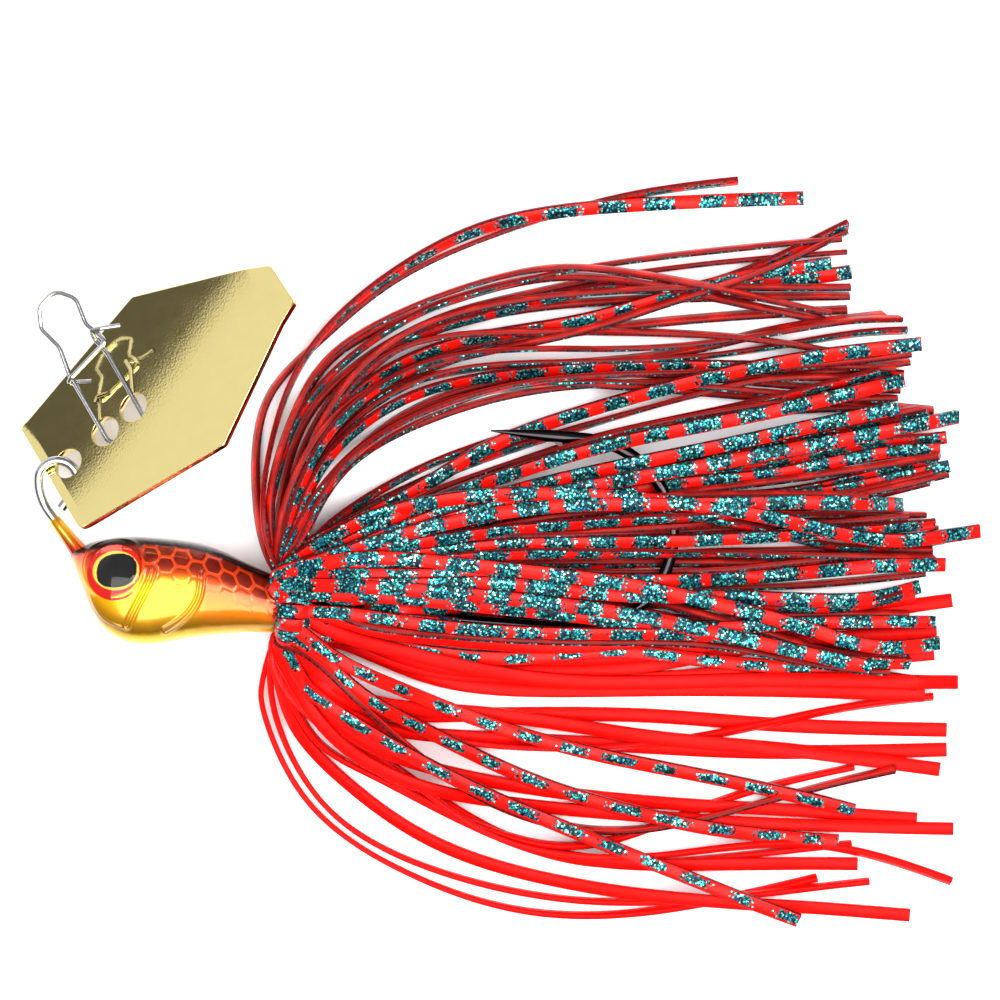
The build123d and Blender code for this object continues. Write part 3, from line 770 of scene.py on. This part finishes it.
def cut_sockets(points, relief):
    """Flattens a seat for each eye, with a low rim round it."""
    z = points[:, 2]
    around = points - EYE_CENTRE * (1, 1, 0)
    for side in (1, -1):
        out = EYE_OUT * (1, 1, side)
        radius = np.linalg.norm(around - np.outer(around @ out, out), axis=1)
        facing = (np.sign(z) == side) & (np.abs(z) > 1.0)
        seat = facing & (radius < SOCKET_RADIUS)
        proud = (points - EYE_CENTRE * (1, 1, side) - out * EYE_GAP) @ out
        points = points - np.outer(np.maximum(np.where(seat, proud, 0), 0), out)
        rim = RIM_HEIGHT * np.exp(-(((radius - RIM_RADIUS) / RIM_WIDTH) ** 2))
        relief = np.where(seat, 0, relief + np.where(facing, rim, 0))
    return points, relief


def make_head_shell(paint):
    """Fish head cast in lead: gill and jaw ridges, scales and eye sockets, finely meshed."""
    line = smooth_through(HEAD_STATIONS, 0.02)
    rows = line[np.linspace(0, len(line) - 1, HEAD_ROWS).astype(int)]
    points, height = head_outline(rows)
    x, y, z = points.T
    flank = soft_step(np.abs(z), 0.8, 2.6)
    depth = np.interp(x, rows[:, 0], rows[:, 1]) - y
    scaled = soft_step(x, -14.5, -13.9) * (1 - soft_step(depth, 4.0, 5.6))
    edges = scale_edges(x, depth)
    points, relief = cut_sockets(points, head_relief(x, y, edges, scaled))
    outward = np.column_stack([0 * x, (y - np.mean(y)) * 0.35, z])
    outward /= np.linalg.norm(outward, axis=1)[:, None] + 1e-9
    points = points + outward * (relief * flank)[:, None]
    piece = mesh_object("head_shell", points, ring_faces(HEAD_ROWS, HEAD_COLUMNS, inside_out=True))
    float_attributes(piece, {"height": height, "lengthwise": x, "scale_edge": edges,
                             "scaled": scaled * flank, "depth": depth})
    dress(piece, paint, "head_body")


def head_paint():
    """Chrome undercoat under candy colours: yellow cheeks, orange flank, scaled red shoulders, black back;
    the dark olive band just above the belly is painted reflection.
    """
    n = Nodes("head_paint")
    lengthwise, depth = n.number("lengthwise"), n.number("depth")
    edge, scaled = n.number("scale_edge"), n.number("scaled")
    point = n.object_point()
    cloud = n.noise(point, 700.0, 4.0)
    level = n.plus(n.number("height"), n.times(n.minus(cloud, 0.5), 0.06))
    # painted reflection: the dark olive stops near 0.12 stand for a dark horizon mirrored low on the flank
    front = n.ramp(level, stops(
        (0.0, 236, 200, 20), (0.05, 206, 160, 8), (0.12, 118, 84, 8), (0.22, 168, 116, 6),
        (0.36, 224, 160, 0), (0.50, 240, 192, 0), (0.60, 236, 150, 4), (0.68, 222, 84, 10),
        (0.80, 188, 48, 14), (0.92, 96, 20, 10), (0.97, 16, 10, 10)))
    # painted reflection: the dark olive stop at 0.14 stands for a dark horizon mirrored low on the flank
    rear = n.ramp(level, stops(
        (0.0, 226, 186, 20), (0.07, 180, 130, 10), (0.14, 128, 82, 8), (0.26, 208, 110, 8),
        (0.42, 228, 92, 18), (0.60, 216, 76, 18), (0.76, 196, 52, 16), (0.90, 96, 22, 12),
        (0.97, 16, 10, 10)))
    nose = n.ramp(level, stops(
        (0.0, 226, 150, 40), (0.3, 232, 150, 60), (0.6, 226, 110, 52), (0.8, 196, 60, 34), (0.93, 50, 18, 16),
        (0.97, 18, 12, 12)))
    colour = n.mix(n.step(lengthwise, -9.4, -7.0), front, rear)
    colour = n.mix(n.step(lengthwise, -19.4, -21.2), colour, nose)
    shoulder = n.minus(1.0, n.step(depth, 2.5, 4.6))
    within = n.times(n.step(edge, 0.12, 0.2), scaled, shoulder)
    dark = n.mix(n.step(cloud, 0.35, 0.65), linear(84, 14, 8), linear(116, 26, 12))
    rim = n.times(n.minus(1.0, n.step(edge, 0.1, 0.2)), scaled)
    colour = n.mix(n.times(rim, 0.6), colour, linear(226, 66, 18))
    colour = n.mix(n.times(within, 0.9), colour, dark)
    back = n.minus(1.0, n.step(depth, 0.55, 1.0))
    colour = n.mix(back, colour, linear(12, 9, 10))
    peel = n.bump(n.noise(point, 1100.0), 0.16)
    return n.surface(colour, 0.24, Normal=peel, Metallic=0.42, Coat_Weight=0.35, Coat_Roughness=0.04,
                     Specular_IOR_Level=0.2)


TURNED_SIDES = 48


def turned_piece(name, profile, start, way, material, node):
    """A turned piece about a line, from (distance along, radius) points."""
    side = np.cross(way, UP)
    side /= np.linalg.norm(side)
    other = np.cross(way, side)
    angles = [2 * pi * k / TURNED_SIDES for k in range(TURNED_SIDES)]
    points = [start + way * along + (side * cos(a) + other * sin(a)) * radius
              for along, radius in profile for a in angles]
    piece = mesh_object(name, points, ring_faces(len(profile), TURNED_SIDES), sharp_angle=40)
    dress(piece, material, node)


def graded_metal(name, low, high, start, end):
    """Candy paint that runs from one colour to another between two heights in Y, in mm."""
    n = Nodes(name)
    point = n.object_point()
    cloud = n.noise(point, 900.0, 3.0)
    split = n.add("SeparateXYZ", Vector=point).outputs["Y"]
    level = n.plus(split, n.times(n.minus(cloud, 0.5), 0.0006))
    colour = n.mix(n.step(level, (HOME[1] + start) * MM, (HOME[1] + end) * MM), low, high)
    return n.surface(colour, 0.2, Normal=n.bump(cloud, 0.2), Metallic=0.85,
                     Coat_Weight=0.6, Coat_Roughness=0.06)


KEEPER = [(-0.5, 2.55), (6.0, 2.55), (6.05, 2.05), (9.0, 1.92), (12.0, 1.8), (12.9, 2.02), (13.2, 2.05),
          (13.5, 1.95), (14.6, 1.65), (16.5, 1.3), (18.1, 0.98), (18.4, 0.78)]
STEM_TOP = np.array((-24.77, 10.04, 0.0))
STEM_WAY = np.array((cos(radians(-52)), sin(radians(-52)), 0.0))
SLEEVE = [(0.75, 0.56), (0.85, 0.64), (2.0, 0.72), (4.0, 0.86), (5.4, 1.02), (6.2, 1.25)]


def make_head_trim():
    """The seat and keeper behind the head, and the painted sleeve on the stem of the wire."""
    keeper = graded_metal("keeper_paint", linear(196, 150, 36), linear(20, 14, 14), -1.1, 0.1)
    turned_piece("keeper_tube", KEEPER, np.zeros(3), SHANK_WAY, keeper, "head_body")
    top = STEM_TOP[1]
    sleeve = graded_metal("sleeve_paint", linear(206, 52, 22), linear(246, 178, 40), top - 4.2, top - 1.2)
    turned_piece("stem_sleeve", SLEEVE, STEM_TOP, STEM_WAY, sleeve, "head_body")


# ---------------------------------------------------------------- the eyes

DISC_RINGS, DISC_SIDES = 40, 96


def make_eye(side, name, foil, lens):
    """The printed disc in its socket and the clear dome over it."""
    out = EYE_OUT * (1, 1, side)
    centre = EYE_CENTRE * (1, 1, side)
    level = np.array((1.0, 0, 0)) - out * out[0]
    level /= np.linalg.norm(level)
    upward = np.cross(out, level) * side
    ball = (EYE_RADIUS**2 + EYE_DOME**2) / (2 * EYE_DOME)
    radii = np.linspace(EYE_GAP, EYE_RADIUS - EYE_GAP, DISC_RINGS)
    flat = np.full(DISC_RINGS, EYE_PRINT - EYE_GAP)
    dome = EYE_PRINT + (ball**2 - radii**2) ** 0.5 - ball + EYE_DOME
    angles = [2 * pi * k / DISC_SIDES for k in range(DISC_SIDES)]
    spots = np.array([(r * cos(a), r * sin(a)) for r in (*radii, radii[-1]) for a in angles])
    faces = ring_faces(DISC_RINGS + 1, DISC_SIDES, inside_out=side > 0)
    for kind, lift, base, material, slot in (("print", flat, 0.0, foil, "eye_foil"),
                                             ("dome", dome, EYE_PRINT, lens, "eye_lens")):
        lifts = np.repeat([*lift, base], DISC_SIDES)[:, None]
        points = centre + level * spots[:, :1] + upward * spots[:, 1:] + out * lifts
        piece = mesh_object(f"eye_{kind}_{name}_fine", points, faces, sharp_angle=40)
        float_attributes(piece, {"eye_x": spots[:, 0], "eye_y": spots[:, 1]})
        dress(piece, material, f"eye_{kind}_{name}")


def eye_foil():
    """Red ring, thin yellow ring that is wider towards the belly, and a rounded black pupil."""
    n = Nodes("eye_foil")
    px, py = n.minus(n.number("eye_x"), 0.12), n.minus(n.number("eye_y"), 0.18)
    fine = n.noise(n.object_point(), 5000.0)
    fuzz = n.times(n.minus(fine, 0.5), 0.22)
    ax, ay = n.over(n.minus(px, 0.08), 2.13), n.over(py, 1.82)
    lean = n.times(ax, ay, 0.18)
    power = n.plus(n.math("POWER", n.size(ax), 2.4), n.math("POWER", n.size(ay), 2.4))
    pupil = n.plus(n.minus(power, lean), fuzz)
    bx, by = n.over(px, 2.52), n.over(py, 2.14)
    ring = n.plus(n.times(bx, bx), n.times(by, by))
    red = n.mix(fine, linear(172, 4, 2), linear(214, 12, 4))
    yellow = n.mix(fine, linear(240, 170, 30), linear(255, 226, 90))
    colour = n.mix(n.step(ring, 0.97, 1.05), yellow, red)
    colour = n.mix(n.step(pupil, 1.0, 1.08), linear(9, 9, 10), colour)
    return n.surface(colour, 0.5, Specular_IOR_Level=0.1)


def eye_lens():
    n = Nodes("eye_lens")
    fine = n.noise(n.object_point(), 600.0, 1.0)
    tint = n.mix(fine, (1.0, 0.99, 0.98, 1), (0.97, 0.98, 1.0, 1))
    return n.surface(tint, 0.03, Normal=n.bump(fine, 0.08), Specular_IOR_Level=0.25, Transmission_Weight=1.0,
                     IOR=1.3)


# ---------------------------------------------------------------- metal parts

BEVEL = 0.09  # of the blade's edges


def metal(name, dark, light, roughness, peel_scale, peel, edge):
    """A polished or plated metal with slight unevenness; edge tints what it reflects at a slant."""
    n = Nodes(name)
    point = n.object_point()
    cloud = n.noise(point, 500.0, 4.0)
    rough = n.plus(roughness, n.times(n.minus(cloud, 0.5), roughness * 0.8))
    waves = n.bump(n.noise(point, peel_scale), peel, 0.00001)
    return n.surface(n.mix(cloud, dark, light), rough, Normal=waves, Metallic=1.0, Specular_Tint=edge)


def finished_copy(node, name, body, material):
    """The CAD node's shape with its flat faces rejoined and its edges softened."""
    mesh = frame["nodes"][node].data.copy()
    shape = bmesh.new()
    shape.from_mesh(mesh)
    bmesh.ops.remove_doubles(shape, verts=shape.verts, dist=1e-6)
    bmesh.ops.dissolve_limit(shape, angle_limit=radians(1.5), verts=shape.verts, edges=shape.edges)
    shape.to_mesh(mesh)
    shape.free()
    mesh.shade_smooth()
    piece = bpy.data.objects.new(name, mesh)
    bpy.context.scene.collection.objects.link(piece)
    edge = piece.modifiers.new("edge", "BEVEL")
    edge.width = BEVEL * MM
    edge.segments = 3
    edge.limit_method = "ANGLE"
    edge.angle_limit = radians(35)
    level = piece.modifiers.new("level", "WEIGHTED_NORMAL")
    level.weight = 100
    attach(piece, body)
    dress(piece, material, node)


def recoat(node, material):
    """A CAD node whose shape is right keeps it and takes a better material."""
    mesh = frame["nodes"][node].data
    mesh.materials.clear()
    mesh.materials.append(material)


def make_metal_parts():
    gold = metal("gold_plate", linear(232, 214, 142), linear(240, 222, 154), 0.06, 3600.0, 0.24, (1, 1, 1, 1))
    silver = metal("bright_wire", linear(174, 174, 176), linear(200, 200, 203), 0.16, 3000.0, 0.6,
                   (0.12, 0.12, 0.14, 1))
    nickel = metal("black_nickel", linear(38, 36, 38), linear(54, 50, 52), 0.14, 1500.0, 0.6,
                   (0.5, 0.5, 0.5, 1))
    finished_copy("blade", "blade_plate", "blade", gold)
    recoat("line_wire", silver)
    recoat("snap", silver)
    recoat("hook", nickel)


def band_rubber():
    n = Nodes("band_rubber")
    grain = n.noise(n.object_point(), 1500.0, 3.0)
    colour = n.mix(grain, linear(18, 17, 18), linear(34, 32, 33))
    return n.surface(colour, 0.55, Normal=n.bump(grain, 0.3))


# The collar's rings of strands: how many, and how far each point of their route is along and off the shank.
COLLAR_STEP = 0.25
COLLAR_RINGS = (
    (13, ((1.0, 2.75), (2.1, 2.85), (3.2, 2.85), (4.1, 2.65))),
    (15, ((1.0, 3.2), (2.1, 3.3), (3.2, 3.3), (4.1, 3.1))),
    (19, ((0.6, 3.5), (1.1, 4.45), (2.1, 4.65), (3.1, 4.5), (3.9, 3.6))),
)


def make_collar(printed):
    """The middles of the strands, gathered round the seat; the outer ring arches over the band."""
    draw = np.random.default_rng(SEED + 1)
    store = ([], [], [])
    for ring, (count, route) in enumerate(COLLAR_RINGS):
        for i in range(count):
            angle = 2 * pi * (i + 0.5 * ring) / count
            base = SHANK_SIDE * cos(angle) + UP * sin(angle)
            path = smooth_through([SHANK_WAY * along + base * off for along, off in route], COLLAR_STEP)
            ways = directions(path)
            across = np.cross(ways, base)
            across /= np.linalg.norm(across, axis=1)[:, None]
            run = COLLAR_STEP * np.arange(len(path))
            mesh = strand_mesh(path, run, across, np.cross(across, ways), STRAND_WIDTH, draw.uniform(0, 1))
            gather(store, *mesh)
    silicone_piece("collar_bundle", store, printed, "skirt_collar")


# ---------------------------------------------------------------- stage

VIEW_WIDTH, VIEW_MIDDLE = 110, 5.47  # of the square that the camera frames, and its middle in Y
LENS, SENSOR = 150, 36
CARD_AWAY, CARD_TOP, CARD_LEFT, CARD_RIGHT = 150, 150, -60, 115
CARD_MIDDLE = np.array((-14.85, 24.2, 0.55))  # the spot of the blade that mirrors the cards' border
CARD_RISE, CARD_LOWER = 0.291, 3.4  # slope of the mirrored line of sight, and the border's place under it
FLOOR_REACH = 3.0


def make_camera():
    """Straight down on the jig, framing a square at the hook's plane."""
    data = bpy.data.cameras.new("camera")
    data.lens = LENS
    data.sensor_width = SENSOR
    data.clip_end = 20
    camera = bpy.data.objects.new("camera", data)
    camera.location = (0.0, VIEW_MIDDLE * MM, (VIEW_WIDTH * LENS / SENSOR + HOME[2]) * MM)
    bpy.context.scene.collection.objects.link(camera)
    bpy.context.scene.camera = camera


def area_light(name, location, size, power):
    """A soft light that points at the middle of the table."""
    data = bpy.data.lights.new(name, "AREA")
    data.shape = "RECTANGLE"
    data.size, data.size_y = size
    data.energy = power
    light = bpy.data.objects.new(name, data)
    light.location = location
    light.rotation_euler = (-Vector(location)).to_track_quat("-Z", "Y").to_euler()
    light.visible_camera = False
    bpy.context.scene.collection.objects.link(light)


def flat_sheet(name, corners, material):
    mesh = bpy.data.meshes.new(name)
    mesh.from_pydata(corners, [], [(0, 1, 2, 3)])
    mesh.materials.append(material)
    sheet = bpy.data.objects.new(name, mesh)
    bpy.context.scene.collection.objects.link(sheet)
    return sheet


def make_reflector():
    """Cards that only the polished parts see: dark along the foot and white above."""
    seen = CARD_MIDDLE + HOME
    level = np.array((0.61, 0.79, 0.0))
    foot = seen * (1, 1, 0) + np.array((-0.79, 0.61, 0.0)) * CARD_AWAY
    edge = seen[2] + CARD_RISE * CARD_AWAY - CARD_LOWER
    for name, low, high, strength in (("card_dark", 0, edge, 0.13), ("card_white", edge, CARD_TOP, 1.0)):
        outline = ((CARD_LEFT, low), (CARD_RIGHT, low), (CARD_RIGHT, high), (CARD_LEFT, high))
        corners = [tuple((foot + level * side + UP * z) * MM) for side, z in outline]
        n = Nodes(name)
        card = flat_sheet(name, corners, n.finish(n.add("Emission", Strength=strength)))
        card.visible_camera = False
        card.visible_diffuse = False
        card.visible_shadow = False
        card.visible_transmission = False


def make_table():
    n = Nodes("table_white")
    colour = n.mix(n.noise(n.object_point(), 60.0), (0.93, 0.925, 0.94, 1), (0.95, 0.945, 0.955, 1))
    white = n.surface(colour, 0.9, Specular_IOR_Level=0.0)
    far = FLOOR_REACH
    flat_sheet("floor", [(-far, -far, 0), (far, -far, 0), (far, far, 0), (-far, far, 0)], white)


def make_world():
    """A pale world that is darker low down for the polished parts."""
    n = Nodes("studio", world=True)
    up = n.add("SeparateXYZ", Vector=n.add("TexCoord").outputs["Generated"]).outputs["Z"]
    low, middle, high = (0.08, 0.08, 0.09, 1), (0.3, 0.3, 0.32, 1), (0.85, 0.85, 0.88, 1)
    mirrored = n.ramp(up, [(0.1, low), (0.5, middle), (0.95, high)])
    glossy = n.add("LightPath").outputs["Is Glossy Ray"]
    colour = n.mix(glossy, (0.9, 0.9, 0.93, 1), mirrored)
    bpy.context.scene.world = n.finish(n.add("Background", Color=colour, Strength=0.75))


def make_stage():
    """White table, soft lights, a pale world and the cards."""
    bpy.context.scene.view_settings.view_transform = "Standard"
    make_table()
    make_world()
    area_light("key", (0.0, -0.13, 0.56), (0.5, 0.5), 5.8)
    area_light("fill", (0.30, 0.08, 0.50), (0.2, 0.3), 2.2)
    make_reflector()


make_camera()
make_stage()
BARS = {"period": 5.5, "bar": 3.7, "half_width": 1.05, "shift_range": 0.5}  # across the whole strand
ISLANDS = {"period": 5.3, "bar": 3.1, "half_width": 0.66, "shift_range": 0.25}  # clear of its edges
printed_finish = printed_silicone("printed_silicone", 0.1, **BARS)
make_skirt(printed_finish, printed_silicone("island_silicone", 0.15, **ISLANDS), plain_silicone())
make_collar(printed_finish)
make_head_shell(head_paint())
make_head_trim()
foil, lens = eye_foil(), eye_lens()
make_eye(1, "left", foil, lens)
make_eye(-1, "right", foil, lens)
make_metal_parts()
recoat("skirt_band", band_rubber())
